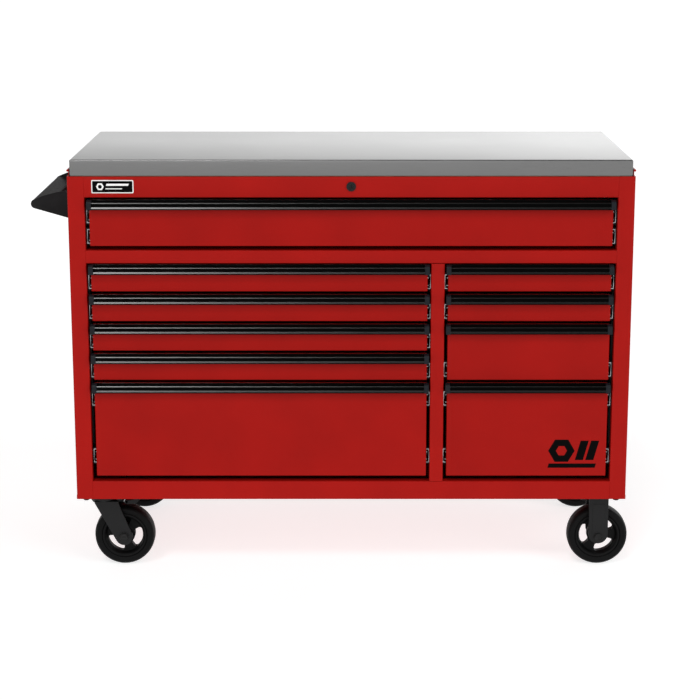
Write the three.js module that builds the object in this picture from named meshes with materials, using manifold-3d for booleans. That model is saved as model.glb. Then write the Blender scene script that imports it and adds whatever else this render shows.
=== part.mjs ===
// Rolling tool chest: a sheet-steel cabinet with ten drawers on ball-bearing slides, a stainless worktop,
// a side push handle, a key lock with its latch frame, and four 6 x 2 inch casters.
// Millimetres, +Z up, front towards -Y. The pieces are modelled from the cabinet's own centre line, with the
// floor at z = 0, and the whole is then moved so that the origin is the middle of its overall box's base.
import * as THREE from "three";
import { mergeVertices } from "three/addons/utils/BufferGeometryUtils.js";
import Module from "manifold-3d";

const wasm = await Module();
wasm.setup();

// ---------------------------------------------------------------- driving dimensions
const INCH = 25.4;
const WIDTH = 54 * INCH; // over the side panels
const DEPTH = 24 * INCH;
const BODY_HEIGHT = 32 * INCH;
const CASTER_HEIGHT = 7.5 * INCH; // floor to the underside of the base pan
const BASE_SKIRT = 4; // the base pan's rim hangs this far below its floor
const SHEET = 1.2; // cabinet and drawer steel
const PLATE = 1.8; // base pan steel
const GAP = 0.3; // between pieces that touch

const BODY_BOTTOM = CASTER_HEIGHT - BASE_SKIRT;
const BODY_TOP = BODY_BOTTOM + BODY_HEIGHT;
const FRONT = -DEPTH / 2; // y of the front frame's face
const BACK = DEPTH / 2;

const POST_WIDTH = 40.8; // front posts, part of the side panels
const POST_RETURN = 22;
const DIVIDER_WIDTH = 31;
const DIVIDER_CENTRE = 211.8;
const TOP_RAIL_HEIGHT = 51.4;
const TOP_OPENING = [BODY_BOTTOM + 631.8, BODY_TOP - TOP_RAIL_HEIGHT]; // z of the full-width drawer's opening
const BANK_OPENING = [BODY_BOTTOM + 46.6, BODY_BOTTOM + 599.5]; // z of the two banks' openings
const RAIL_DEPTH = 25;
const BASE_RIM = 10; // height of the base pan's rim
const BASE_OVERHANG = 1.8; // the base pan stands this far proud of the side panels

const WORKTOP = { width: 1360, thickness: 40, back: BACK - 12, skin: 1.5 };
const LIP = { inset: 3.6, height: 17, bead: 2.9 }; // raised edge beside the worktop

const OPENING_HALF = WIDTH / 2 - POST_WIDTH;
const FULL = [-OPENING_HALF, OPENING_HALF];
const LEFT_BANK = [-OPENING_HALF, DIVIDER_CENTRE - DIVIDER_WIDTH / 2];
const RIGHT_BANK = [DIVIDER_CENTRE + DIVIDER_WIDTH / 2, OPENING_HALF];

const STRIPS = { front: 40, back: 400, width: 30 }; // upright strips that carry the slides, behind the front face
const STIFFENER = { half: 45, height: 20 }; // channels on the base pan over the casters
const RIBS = { x: [-340, 0, 340], half: 6, depth: 5, margin: 40 }; // on the back panel
const SLIDE = { thickness: 12.7, height: 42, length: 508, sheet: 1.5, rail: 20, railDepth: 8, setback: 14 };
const FRONT_SIDE_GAP = 9.5; // drawer front to post
const PULL = { height: 24, reach: 16, sideGap: 5 };
const FRONT_RECESS = 2; // drawer fronts sit this far inside the frame's face
const FRONT_FLANGE = 12;
const DRAWER_DEPTH = 540;
const SHALLOW_WALL = 46; // side-wall height of the shallow drawers
const BOX_LIFT = 4; // drawer floor above the front's lower edge

const PITCH = 74.3; // one shallow drawer
const SHALLOW_TOP = BODY_BOTTOM + 597.1;
const SHALLOW_HEIGHT = 67.5;
const DEEP_BOTTOM = BODY_BOTTOM + 60.2;
const TOP_DRAWER_BOTTOM = BODY_BOTTOM + 642.1;
const SLIDE_RISE = 22; // slide centre above the drawer front's lower edge

// Each drawer: opening it fills, z of its front, side-wall height and the heights of its slides' centres.
const shallow = (bank, row) => {
  const top = SHALLOW_TOP - row * PITCH;
  return { bank, top, bottom: top - SHALLOW_HEIGHT, wall: SHALLOW_WALL, slides: [top - SHALLOW_HEIGHT + SLIDE_RISE] };
};
const deepTop = SHALLOW_TOP - 4 * PITCH;
const deepSlides = [DEEP_BOTTOM + 196.3, DEEP_BOTTOM + 49.1];
const mediumBottom = deepTop + PITCH - SHALLOW_HEIGHT;
const DRAWERS = {
  top_drawer: {
    bank: FULL,
    top: BODY_BOTTOM + 756.3,
    bottom: TOP_DRAWER_BOTTOM,
    wall: 96,
    slides: [TOP_DRAWER_BOTTOM + 72.6, TOP_DRAWER_BOTTOM + SLIDE_RISE],
  },
  left_drawer_1: shallow(LEFT_BANK, 0),
  left_drawer_2: shallow(LEFT_BANK, 1),
  left_drawer_3: shallow(LEFT_BANK, 2),
  left_drawer_4: shallow(LEFT_BANK, 3),
  left_drawer_5: { bank: LEFT_BANK, top: deepTop, bottom: DEEP_BOTTOM, wall: 212, slides: deepSlides },
  right_drawer_1: shallow(RIGHT_BANK, 0),
  right_drawer_2: shallow(RIGHT_BANK, 1),
  right_drawer_3: {
    bank: RIGHT_BANK,
    top: SHALLOW_TOP - 2 * PITCH,
    bottom: mediumBottom,
    wall: 118,
    slides: [mediumBottom + SLIDE_RISE + 2],
  },
  right_drawer_4: { bank: RIGHT_BANK, top: deepTop, bottom: DEEP_BOTTOM, wall: 212, slides: deepSlides },
};

const LOCK = { z: BODY_BOTTOM + 788.5, barrel: 9.5, bezel: 11.6, plug: 6, length: 30 };
const LATCH = { y: 284, bar: 16, legs: [-224, 436], thickness: 3 };

const WHEEL = { radius: 3 * INCH, width: 2 * INCH, segments: 36 };
const CASTER = { x: WIDTH / 2 - 60.2, y: 238, trail: 50, plate: [101.6, 114.3], plateThickness: 5.2, legWidth: 49 };
const FORK = { inner: 30, sheet: 5, crownTop: 184, crownBottom: 165, raceBottom: 159, tip: 22 };
const RACE = { radius: 36, neck: 26, shoulder: 172 }; // the race narrows below its shoulder
const CROWN = [-22, 37]; // x of the fork's crown, from the kingpin
const BRAKE = { pivot: [56, 165.5], hub: 5, half: 24, tongue: [20, 50.2] }; // from the kingpin; tongue: half width, end
const KINGPIN = { radius: 11, rivet: 16 };
const AXLE = { radius: 6, head: 11, clearance: 0.3 };

const HANDLE = {
  y: [-214.8, 215.2], // outer faces of the two brackets
  plate: 8,
  tip: [-779.2, 918.8], // x, z of the bracket's rounded end
  foot: [880, 952], // z of the bracket against the side panel
  footDepth: 36, // along the side panel
  tilt: -0.28, // of the grip, along the bracket's lower edge, in radians
  tipRadius: 11.4,
  grip: 10.9,
  gripSpan: 27,
};

const PAINT = { color: 0xa01a18, roughness: 0.35, metalness: 0 };
const BLACK_METAL = { color: 0x1c1c1e, roughness: 0.5, metalness: 0.2 };
const BLACK_PLASTIC = { color: 0x222426, roughness: 0.55, metalness: 0 };
const ANODISED = { color: 0x060606, roughness: 0.25, metalness: 0.6 };
const ZINC = { color: 0xb9bcbe, roughness: 0.35, metalness: 1 };
const STAINLESS = { color: 0xa6a7a6, roughness: 0.3, metalness: 1 };
const BOARD = { color: 0x9a7b55, roughness: 0.9, metalness: 0 };
const RUBBER = { color: 0x1b1b1c, roughness: 0.6, metalness: 0 };

// ---------------------------------------------------------------- helpers
const chest = new THREE.Group();

// A closed geometry as a solid that can be joined and cut.
function solid(geometry) {
  const bare = geometry.clone();
  bare.deleteAttribute("normal");
  bare.deleteAttribute("uv");
  const merged = mergeVertices(bare, 1e-4);
  return new wasm.Manifold(
    new wasm.Mesh({
      numProp: 3,
      vertProperties: merged.attributes.position.array,
      triVerts: new Uint32Array(merged.index.array),
    }),
  );
}

function add(name, made, finish) {
  const mesh = made.getMesh();
  const geometry = new THREE.BufferGeometry();
  geometry.setAttribute("position", new THREE.BufferAttribute(mesh.vertProperties, 3));
  geometry.setIndex(new THREE.BufferAttribute(mesh.triVerts, 1));
  const part = new THREE.Mesh(geometry, new THREE.MeshStandardMaterial(finish));
  part.name = name;
  chest.add(part);
}

const join = (...pieces) => pieces.reduce((all, piece) => all.add(piece));

// A block between two corners.
function block([x0, y0, z0], [x1, y1, z1]) {
  const g = new THREE.BoxGeometry(x1 - x0, y1 - y0, z1 - z0);
  return solid(g.translate((x0 + x1) / 2, (y0 + y1) / 2, (z0 + z1) / 2));
}

const AXES = {
  x: new THREE.Matrix4().set(0, 0, 1, 0, 1, 0, 0, 0, 0, 1, 0, 0, 0, 0, 0, 1),
  y: new THREE.Matrix4().set(1, 0, 0, 0, 0, 0, -1, 0, 0, 1, 0, 0, 0, 0, 0, 1),
  z: new THREE.Matrix4(),
};

// A shape drawn in (y, z), (x, z) or (x, y) and run along the axis x, y or z from one place to another.
function prism(shape, axis, from, to, curveSegments = 6) {
  const g = new THREE.ExtrudeGeometry(shape, { depth: to - from, bevelEnabled: false, curveSegments });
  g.applyMatrix4(AXES[axis]);
  const start = axis === "y" ? to : from; // along y the extrusion runs backwards
  g.translate(axis === "x" ? start : 0, axis === "y" ? start : 0, axis === "z" ? start : 0);
  return solid(g);
}

// The cross-section of a folded sheet: a line of straight runs, given its thickness on the left-hand side.
function folded(points, thickness) {
  const p = points.map(([u, v]) => new THREE.Vector2(u, v));
  const side = (a, b) => b.clone().sub(a).normalize().rotateAround(new THREE.Vector2(), Math.PI / 2);
  const inner = p.map((point, i) => {
    const before = i > 0 ? side(p[i - 1], point) : side(point, p[i + 1]);
    const after = i < p.length - 1 ? side(point, p[i + 1]) : before;
    const mitre = before.clone().add(after).normalize();
    return point.clone().addScaledVector(mitre, thickness / mitre.dot(before));
  });
  return new THREE.Shape([...p, ...inner.reverse()]);
}

function cylinder(radius, axis, from, to, [u, v], segments = 24) {
  const shape = new THREE.Shape().absarc(u, v, radius, 0, 2 * Math.PI);
  return prism(shape, axis, from, to, segments / 2); // an arc gets two points for each curve segment
}

const mirrorX = (made) => made.mirror([1, 0, 0]);

// ---------------------------------------------------------------- cabinet
// Side wall, front post and back flange in one folded sheet, with the raised bead beside the worktop.
function leftSidePanel() {
  const x = -WIDTH / 2;
  const bottom = BODY_BOTTOM + BASE_RIM + GAP;
  const plan = folded(
    [
      [x + 20, BACK],
      [x, BACK],
      [x, FRONT],
      [x + POST_WIDTH, FRONT],
      [x + POST_WIDTH, FRONT + POST_RETURN],
    ],
    SHEET,
  );
  const wall = prism(plan, "z", bottom, BODY_TOP);
  const postFoot = block([x, FRONT, BODY_BOTTOM], [x + POST_WIDTH, FRONT + SHEET, bottom + 1]);
  const ledge = folded(
    [
      [x, BODY_TOP - 6],
      [x, BODY_TOP],
      [x + LIP.inset, BODY_TOP],
      [x + LIP.inset, BODY_TOP + LIP.height - LIP.bead],
    ].reverse(),
    SHEET,
  );
  const lip = prism(ledge, "y", FRONT + 4, BACK);
  const beadCentre = [x + LIP.inset + SHEET - LIP.bead, BODY_TOP + LIP.height - LIP.bead];
  const bead = cylinder(LIP.bead, "y", FRONT + 4, BACK, beadCentre, 10);
  return join(wall, postFoot, lip, bead);
}

// A front rail: a channel open to the back, running between the posts.
function rail(bottom, top, [x0, x1]) {
  const section = folded(
    [
      [FRONT + RAIL_DEPTH, bottom],
      [FRONT, bottom],
      [FRONT, top],
      [FRONT + RAIL_DEPTH, top],
    ].reverse(),
    SHEET,
  );
  return prism(section, "x", x0, x1);
}

const betweenPosts = [-OPENING_HALF + GAP, OPENING_HALF - GAP];
const inside = WIDTH / 2 - SHEET - GAP; // half the width between the side walls

function topRail() {
  const hole = cylinder(LOCK.barrel + GAP, "y", FRONT - 5, FRONT + 5, [0, LOCK.z]);
  return rail(BODY_TOP - TOP_RAIL_HEIGHT, BODY_TOP - GAP, betweenPosts).subtract(hole);
}

// The shelf over the two banks, whose front edge is folded down as the middle rail.
function midShelf() {
  const [bottom, top] = [BANK_OPENING[1], TOP_OPENING[0]];
  const front = rail(bottom, top, betweenPosts);
  const behindPost = FRONT + POST_RETURN + GAP;
  const sheet = block([-inside, behindPost, top - SHEET], [inside, LATCH.y - 8, top]);
  const backFold = block([-inside, LATCH.y - 8 - SHEET, bottom + 8], [inside, LATCH.y - 8, top]);
  return join(front, sheet, backFold);
}

// Two walls and a front face in one folded sheet, open to the back.
function centreDivider() {
  const half = DIVIDER_WIDTH / 2;
  const plan = folded(
    [
      [DIVIDER_CENTRE - half, LATCH.y - 12],
      [DIVIDER_CENTRE - half, FRONT],
      [DIVIDER_CENTRE + half, FRONT],
      [DIVIDER_CENTRE + half, LATCH.y - 12],
    ],
    SHEET,
  );
  const face = prism(plan, "z", BANK_OPENING[0] + GAP, BANK_OPENING[1] - GAP);
  const notch = block(
    [DIVIDER_CENTRE - half - 1, FRONT - 1, 0],
    [DIVIDER_CENTRE + half + 1, FRONT + RAIL_DEPTH + GAP, BANK_OPENING[0] + GAP],
  );
  const foot = prism(plan, "z", CASTER_HEIGHT + PLATE + GAP, BANK_OPENING[0] + 2).subtract(notch);
  return join(face, foot);
}

function basePan() {
  const half = WIDTH / 2 + BASE_OVERHANG;
  const rimTop = BODY_BOTTOM + BASE_RIM;
  const floorTop = CASTER_HEIGHT + PLATE;
  const front = FRONT + SHEET + GAP;
  const pocket = (bottom, top) => block([-half + PLATE, front - 5, bottom], [half - PLATE, BACK - PLATE, top]);
  const pan = block([-half, front, BODY_BOTTOM], [half, BACK, rimTop])
    .subtract(pocket(floorTop, rimTop + 5))
    .subtract(pocket(BODY_BOTTOM - 5, CASTER_HEIGHT));
  const stiffener = (x) => {
    const shape = folded(
      [
        [x - STIFFENER.half, floorTop - PLATE / 2],
        [x - STIFFENER.half, floorTop + STIFFENER.height],
        [x + STIFFENER.half, floorTop + STIFFENER.height],
        [x + STIFFENER.half, floorTop - PLATE / 2],
      ].reverse(),
      PLATE,
    );
    return prism(shape, "y", FRONT + RAIL_DEPTH + 3, BACK - 16);
  };
  return join(pan, stiffener(-CASTER.x), stiffener(CASTER.x));
}

// The rail along the foot of the front, which hides the base pan's front edge.
function bottomRail() {
  const section = folded(
    [
      [FRONT + RAIL_DEPTH, BANK_OPENING[0]],
      [FRONT, BANK_OPENING[0]],
      [FRONT, BODY_BOTTOM],
    ],
    SHEET,
  );
  return prism(section, "x", ...betweenPosts);
}

function backPanel() {
  const z = [BODY_BOTTOM + BASE_RIM + GAP, BODY_TOP - SHEET - GAP];
  const y = BACK - SHEET - GAP;
  const section = folded(
    [
      [y - 18, z[1]],
      [y, z[1]],
      [y, z[0]],
      [y - 10, z[0]],
    ].reverse(),
    SHEET,
  );
  const [ribBottom, ribTop] = [z[0] + RIBS.margin, z[1] - RIBS.margin];
  const rib = (x) => block([x - RIBS.half, y - RIBS.depth, ribBottom], [x + RIBS.half, y, ribTop]);
  return join(prism(section, "x", -inside, inside), ...RIBS.x.map(rib));
}

// The stainless sheet folded over the board, open underneath.
function worktopSkin() {
  const half = WORKTOP.width / 2;
  const bottom = BODY_TOP + GAP;
  const top = bottom + WORKTOP.thickness;
  const outer = block([-half, FRONT, bottom], [half, WORKTOP.back, top]);
  const s = WORKTOP.skin;
  return outer.subtract(block([-half + s, FRONT + s, bottom - 1], [half - s, WORKTOP.back - s, top - s]));
}

function worktopBoard() {
  const edge = WORKTOP.width / 2 - WORKTOP.skin - GAP;
  const y = [FRONT + WORKTOP.skin + GAP, WORKTOP.back - WORKTOP.skin - GAP];
  const top = BODY_TOP + WORKTOP.thickness - WORKTOP.skin;
  return block([-edge, y[0], BODY_TOP + GAP], [edge, y[1], top]);
}

// ---------------------------------------------------------------- slides
const slideStart = FRONT + SLIDE.setback;

// The fixed members of one side of one bank: channels on two upright strips. toDrawer is +1 or -1 along x.
function slideRack(face, wall, toDrawer, heights) {
  const span = (a, b) => (a < b ? [a, b] : [b, a]);
  const flangeEnd = face + toDrawer * (SLIDE.thickness - 3.2);
  const half = SLIDE.height / 2;
  const channel = (z) => {
    const section = [
      [flangeEnd, z + half],
      [face, z + half],
      [face, z - half],
      [flangeEnd, z - half],
    ];
    const shape = folded(toDrawer > 0 ? section : section.reverse(), SLIDE.sheet);
    return prism(shape, "y", slideStart, slideStart + SLIDE.length);
  };
  const [x0, x1] = span(face, face + toDrawer * SLIDE.sheet);
  const low = Math.min(...heights) - half - 3;
  const high = Math.max(...heights) + half - 1;
  const strip = (y) => {
    const flat = block([x0, y, low], [x1, y + STRIPS.width, high]);
    if (Math.abs(wall - face) < 1) return flat;
    const [w0, w1] = span(wall, face);
    return join(flat, block([w0, y, low], [w1, y + SLIDE.sheet, high]));
  };
  return join(...heights.map(channel), strip(FRONT + STRIPS.front), strip(FRONT + STRIPS.back));
}

const slidesOf = (bank) => Object.values(DRAWERS).flatMap((d) => (d.bank === bank ? d.slides : []));

function addSlideRacks() {
  const wall = WIDTH / 2 - SHEET - GAP;
  const leftFace = DIVIDER_CENTRE - DIVIDER_WIDTH / 2 - GAP;
  const rightFace = DIVIDER_CENTRE + DIVIDER_WIDTH / 2 + GAP;
  const racks = {
    slide_rack_top_left: slideRack(FULL[0], -wall, 1, slidesOf(FULL)),
    slide_rack_top_right: slideRack(FULL[1], wall, -1, slidesOf(FULL)),
    slide_rack_left_outer: slideRack(LEFT_BANK[0], -wall, 1, slidesOf(LEFT_BANK)),
    slide_rack_left_inner: slideRack(leftFace, leftFace, -1, slidesOf(LEFT_BANK)),
    slide_rack_right_inner: slideRack(rightFace, rightFace, 1, slidesOf(RIGHT_BANK)),
    slide_rack_right_outer: slideRack(RIGHT_BANK[1], wall, -1, slidesOf(RIGHT_BANK)),
  };
  for (const [name, made] of Object.entries(racks)) add(name, made, ZINC);
}

// ---------------------------------------------------------------- drawers
const drawerFront = FRONT + FRONT_RECESS; // y of the drawer fronts' faces

// A folded box with its front flange all round and the slides' moving rails along its sides.
function drawerBox({ bank, top, bottom, wall, slides }) {
  const [x0, x1] = [bank[0] + FRONT_SIDE_GAP, bank[1] - FRONT_SIDE_GAP];
  const [b0, b1] = [bank[0] + SLIDE.thickness, bank[1] - SLIDE.thickness];
  const y = drawerFront;
  const panTop = top - 1;
  const pan = block([x0, y, bottom], [x1, y + FRONT_FLANGE, panTop]).subtract(
    block([x0 + SHEET, y + SHEET, bottom + SHEET], [x1 - SHEET, y + FRONT_FLANGE + 1, panTop - SHEET]),
  );
  const floor = bottom + BOX_LIFT;
  const end = y + DRAWER_DEPTH;
  const tub = block([b0, y + SHEET / 2, floor], [b1, end, floor + wall]).subtract(
    block([b0 + SHEET, y + SHEET / 2 - 1, floor + SHEET], [b1 - SHEET, end - SHEET, floor + wall + 1]),
  );
  const hem = (u0, u1) => block([u0, y + FRONT_FLANGE + 4, floor + wall - SHEET], [u1, end, floor + wall]);
  const moving = slides.flatMap((z) => {
    const half = SLIDE.rail / 2;
    const along = [slideStart + 1, slideStart + SLIDE.length - 4];
    return [
      block([b0 - SLIDE.railDepth, along[0], z - half], [b0 + SHEET / 2, along[1], z + half]),
      block([b1 - SHEET / 2, along[0], z - half], [b1 + SLIDE.railDepth, along[1], z + half]),
    ];
  });
  return join(pan, tub, hem(b0, b0 + 7), hem(b1 - 7, b1), ...moving);
}

// The full-width pull: a flange on the drawer front, a finger groove, and a rounded lip. Drawn in (y, z).
function pullSection(top) {
  const back = drawerFront - GAP;
  const at = (reach, height) => [back - reach, top - PULL.height + height];
  const lip = PULL.reach;
  const s = new THREE.Shape();
  s.moveTo(...at(0, 0));
  s.lineTo(...at(0, PULL.height));
  s.lineTo(...at(2.2, PULL.height));
  s.lineTo(...at(2.2, 10));
  s.quadraticCurveTo(...at(2.8, 6.5), ...at(6.5, 6.5));
  s.quadraticCurveTo(...at(11, 7), ...at(12, 15));
  s.quadraticCurveTo(...at(lip - 1.5, 18.6), ...at(lip, 15.2));
  s.lineTo(...at(lip, 6));
  s.quadraticCurveTo(...at(lip, 0.6), ...at(lip - 6, 0.6));
  s.closePath();
  return s;
}

function drawerPull({ bank, top }) {
  return prism(pullSection(top), "x", bank[0] + PULL.sideGap, bank[1] - PULL.sideGap, 4);
}

// ---------------------------------------------------------------- lock
function lockBarrel() {
  const tube = cylinder(LOCK.barrel, "y", FRONT, FRONT + LOCK.length, [0, LOCK.z]);
  const bezel = cylinder(LOCK.bezel, "y", FRONT - 3, FRONT - GAP, [0, LOCK.z]);
  const neck = cylinder(LOCK.barrel, "y", FRONT - 1, FRONT + 1, [0, LOCK.z]);
  const bore = cylinder(LOCK.plug + GAP, "y", FRONT - 10, FRONT + 50, [0, LOCK.z]);
  return join(tube, bezel, neck).subtract(bore);
}

// The turning plug, with its cam behind the barrel.
function lockPlug() {
  const plug = cylinder(LOCK.plug, "y", FRONT - 2, FRONT + LOCK.length + 4, [0, LOCK.z]);
  const slot = block([-1, FRONT - 3, LOCK.z - 3.5], [1, FRONT + 2, LOCK.z + 3.5]);
  const y = [FRONT + LOCK.length + 1, FRONT + LOCK.length + 4];
  const cam = block([-5, y[0], LOCK.z - 7], [5, y[1], LOCK.z + 17]);
  return join(plug, cam).subtract(slot);
}

// The shaft that carries the plug's turn to the back, with a crank under the latch frame's cross bar.
function lockShaft() {
  const start = FRONT + LOCK.length + 4 + GAP;
  const shaft = cylinder(4, "y", start, LATCH.y - GAP, [0, LOCK.z], 12);
  const crank = block([-4, LATCH.y - 5, LOCK.z - 4], [22, LATCH.y - GAP, LOCK.z + 4]);
  return join(shaft, crank);
}

// A cross bar over two upright latch bars, which rise and fall together behind the drawers.
function latchFrame() {
  const y = [LATCH.y, LATCH.y + LATCH.thickness];
  const crossBottom = LOCK.z - 34;
  const [left, right] = LATCH.legs;
  const half = LATCH.bar / 2;
  const cross = block([left - half, y[0], crossBottom], [right + half, y[1], crossBottom + 14]);
  const leg = (x) => block([x - half, y[0], BODY_BOTTOM + 60], [x + half, y[1], crossBottom + 2]);
  return join(cross, leg(left), leg(right));
}

// ---------------------------------------------------------------- push handle
function handleBracket([y0, y1], footTo) {
  const [tx, tz] = HANDLE.tip;
  const wall = -WIDTH / 2 - GAP;
  const s = new THREE.Shape();
  const [footBottom, footTop] = HANDLE.foot;
  s.moveTo(wall, footBottom);
  s.lineTo(wall, footTop);
  s.quadraticCurveTo(tx + 44, footTop - 1, tx - 6.2, tz + 9.6);
  s.absarc(tx, tz, HANDLE.tipRadius, THREE.MathUtils.degToRad(123), THREE.MathUtils.degToRad(255), false);
  const plate = prism(s, "y", y0, y1, 8);
  const y = [Math.min(y0, footTo), Math.max(y1, footTo)];
  const foot = block([wall - 4, y[0], footBottom + 4], [wall, y[1], footTop - 4]);
  return join(plate, foot);
}

// An oval grip between the brackets.
function handleGrip() {
  const [tx, tz] = HANDLE.tip;
  const tilt = HANDLE.tilt;
  const end = [tx + HANDLE.gripSpan * Math.cos(tilt), tz + HANDLE.gripSpan * Math.sin(tilt)];
  const s = new THREE.Shape();
  s.absarc(tx, tz, HANDLE.grip, Math.PI / 2 + tilt, (3 * Math.PI) / 2 + tilt, false);
  s.absarc(end[0], end[1], HANDLE.grip, -Math.PI / 2 + tilt, Math.PI / 2 + tilt, false);
  const [front, back] = HANDLE.y;
  return prism(s, "y", front + HANDLE.plate + GAP, back - HANDLE.plate - GAP, 10);
}

// ---------------------------------------------------------------- casters
// A solid wheel with a recessed hub and three arc-shaped openings; turn is where the first opening points.
function wheel([x, y], turn) {
  const half = WHEEL.width / 2;
  const r = WHEEL.radius;
  const side = [
    [AXLE.radius + 1, -half - 3.5],
    [18, -half - 3.5],
    [20, -9],
    [44, -7],
    [49, -half + 1.5],
    [r - 6, -half],
    [r, -half + 8],
  ];
  const ring = [...side, ...side.map(([u, v]) => [u, -v]).reverse()];
  const points = [...ring, ring[0]].map(([u, v]) => new THREE.Vector2(u, v));
  const turned = solid(new THREE.LatheGeometry(points, WHEEL.segments));
  const opening = (angle) => {
    const s = new THREE.Shape();
    s.absarc(0, 0, 43, angle - 0.7, angle + 0.7, false);
    s.absarc(0, 0, 25.5, angle + 0.64, angle - 0.64, true);
    return prism(s, "y", -half - 5, half + 5, 4);
  };
  const third = (2 * Math.PI) / 3;
  const cut = [0, 1, 2].reduce((made, i) => made.subtract(opening(turn + i * third)), turned);
  return cut.translate([x, y, r]);
}

function axle([x, y], z) {
  const outer = FORK.inner + FORK.sheet;
  const bolt = cylinder(AXLE.radius, "y", y - outer - 2, y + outer + 2, [x, z], 20);
  const head = (y0, y1) => cylinder(AXLE.head, "y", y0, y1, [x, z], 6);
  return join(bolt, head(y - outer - 6.5, y - outer - GAP), head(y + outer + GAP, y + outer + 6.5));
}

const axleHole = ([x, y], z) => cylinder(AXLE.radius + AXLE.clearance, "y", y - 60, y + 60, [x, z], 20);

// A fixed caster's frame: a top plate with two upright legs.
function rigidFrame([x, y]) {
  const [px, py] = CASTER.plate.map((size) => size / 2);
  const top = CASTER_HEIGHT - GAP;
  const plate = block([x - px, y - py, top - CASTER.plateThickness], [x + px, y + py, top]);
  const leg = (y0) => {
    const s = new THREE.Shape();
    const halfWidth = CASTER.legWidth / 2;
    s.moveTo(x - halfWidth, top - 2);
    s.absarc(x, WHEEL.radius + 7, halfWidth, Math.PI, 2 * Math.PI, false);
    s.lineTo(x + halfWidth, top - 2);
    return prism(s, "y", y0, y0 + FORK.sheet, 8);
  };
  const made = join(plate, leg(y - FORK.inner - FORK.sheet), leg(y + FORK.inner));
  return made.subtract(axleHole([x, y], WHEEL.radius));
}

// A swivel caster's top plate with the kingpin that the fork turns on.
function swivelPlate([x, y]) {
  const [px, py] = CASTER.plate.map((size) => size / 2);
  const top = CASTER_HEIGHT - GAP;
  const plate = block([x - px, y - py, top - CASTER.plateThickness], [x + px, y + py, top]);
  const pin = cylinder(KINGPIN.radius, "z", FORK.raceBottom - 2, top - 1, [x, y]);
  const rivet = cylinder(KINGPIN.rivet, "z", FORK.raceBottom - 4, FORK.raceBottom - GAP, [x, y]);
  return join(plate, pin, rivet);
}

// The swivel fork: a round race, a crown and two legs that lean back to the axle.
function swivelFork([x, y]) {
  const axleX = x + CASTER.trail;
  const r = WHEEL.radius;
  const raceSide = [
    [0, FORK.raceBottom],
    [RACE.neck, FORK.raceBottom],
    [RACE.radius, RACE.shoulder],
    [RACE.radius, FORK.crownTop],
    [0, FORK.crownTop],
  ];
  const lathe = new THREE.LatheGeometry(raceSide.map(([u, v]) => new THREE.Vector2(u, v)), 32);
  const race = solid(lathe.rotateX(Math.PI / 2)).translate([x, y, 0]);
  const outer = FORK.inner + FORK.sheet;
  const [crownLeft, crownRight] = CROWN.map((reach) => x + reach);
  const crownTop = FORK.crownBottom + FORK.sheet;
  const crown = block([crownLeft, y - outer, FORK.crownBottom], [crownRight, y + outer, crownTop]);
  const [tongueHalf, tongueEnd] = BRAKE.tongue;
  const tongue = block([crownRight - 1, y - tongueHalf, FORK.crownBottom], [x + tongueEnd, y + tongueHalf, crownTop]);
  const leg = (y0) => {
    const s = new THREE.Shape();
    s.moveTo(crownLeft, crownTop);
    s.lineTo(crownLeft, FORK.crownBottom);
    s.absarc(axleX, r, FORK.tip, THREE.MathUtils.degToRad(207), THREE.MathUtils.degToRad(378), false);
    s.lineTo(crownRight, FORK.crownBottom);
    s.lineTo(crownRight, crownTop);
    return prism(s, "y", y0, y0 + FORK.sheet, 8);
  };
  const made = join(race, crown, tongue, leg(y - outer), leg(y + FORK.inner));
  const bore = cylinder(KINGPIN.radius + GAP, "z", FORK.raceBottom - 5, FORK.crownTop + 5, [x, y]);
  return made.subtract(bore).subtract(axleHole([axleX, y], r));
}

// The toe brake: a shoe over the wheel, hinged at the end of the fork's tongue, with a tread plate behind.
function brakePedal([x, y]) {
  const [pivotX, pivotZ] = BRAKE.pivot;
  const s = new THREE.Shape();
  s.moveTo(x + 53, 170);
  s.lineTo(x + 66, 170);
  s.lineTo(x + 92, 178);
  s.lineTo(x + 108, 178);
  s.lineTo(x + 108, 175);
  s.lineTo(x + 94, 175);
  s.lineTo(x + 80, 160);
  s.lineTo(x + 56, 160);
  s.closePath();
  const shoe = prism(s, "y", y - BRAKE.half, y + BRAKE.half);
  const hub = cylinder(BRAKE.hub, "y", y - BRAKE.half, y + BRAKE.half, [x + pivotX, pivotZ], 16);
  return join(shoe, hub);
}

function addCasters() {
  const rows = { front: -CASTER.y, rear: CASTER.y };
  for (const [row, y] of Object.entries(rows)) {
    const swivel = [-CASTER.x, y];
    const trailing = [-CASTER.x + CASTER.trail, y];
    const rigid = [CASTER.x, y];
    add(`caster_${row}_left_plate`, swivelPlate(swivel), BLACK_METAL);
    add(`caster_${row}_left_fork`, swivelFork(swivel), BLACK_METAL);
    add(`caster_${row}_left_axle`, axle(trailing, WHEEL.radius), BLACK_METAL);
    add(`caster_${row}_left_wheel`, wheel(trailing, -0.17), RUBBER);
    add(`caster_${row}_left_brake`, brakePedal(swivel), BLACK_METAL);
    add(`caster_${row}_right_frame`, rigidFrame(rigid), BLACK_METAL);
    add(`caster_${row}_right_axle`, axle(rigid, WHEEL.radius), BLACK_METAL);
    add(`caster_${row}_right_wheel`, wheel(rigid, Math.PI), RUBBER);
  }
}

// ---------------------------------------------------------------- assembly
const leftSide = leftSidePanel();
add("left_side_panel", leftSide, PAINT);
add("right_side_panel", mirrorX(leftSide), PAINT);
add("back_panel", backPanel(), PAINT);
add("base_pan", basePan(), PAINT);
add("top_rail", topRail(), PAINT);
add("mid_shelf", midShelf(), PAINT);
add("bottom_rail", bottomRail(), PAINT);
add("centre_divider", centreDivider(), PAINT);
add("worktop_skin", worktopSkin(), STAINLESS);
add("worktop_board", worktopBoard(), BOARD);
addSlideRacks();

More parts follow.
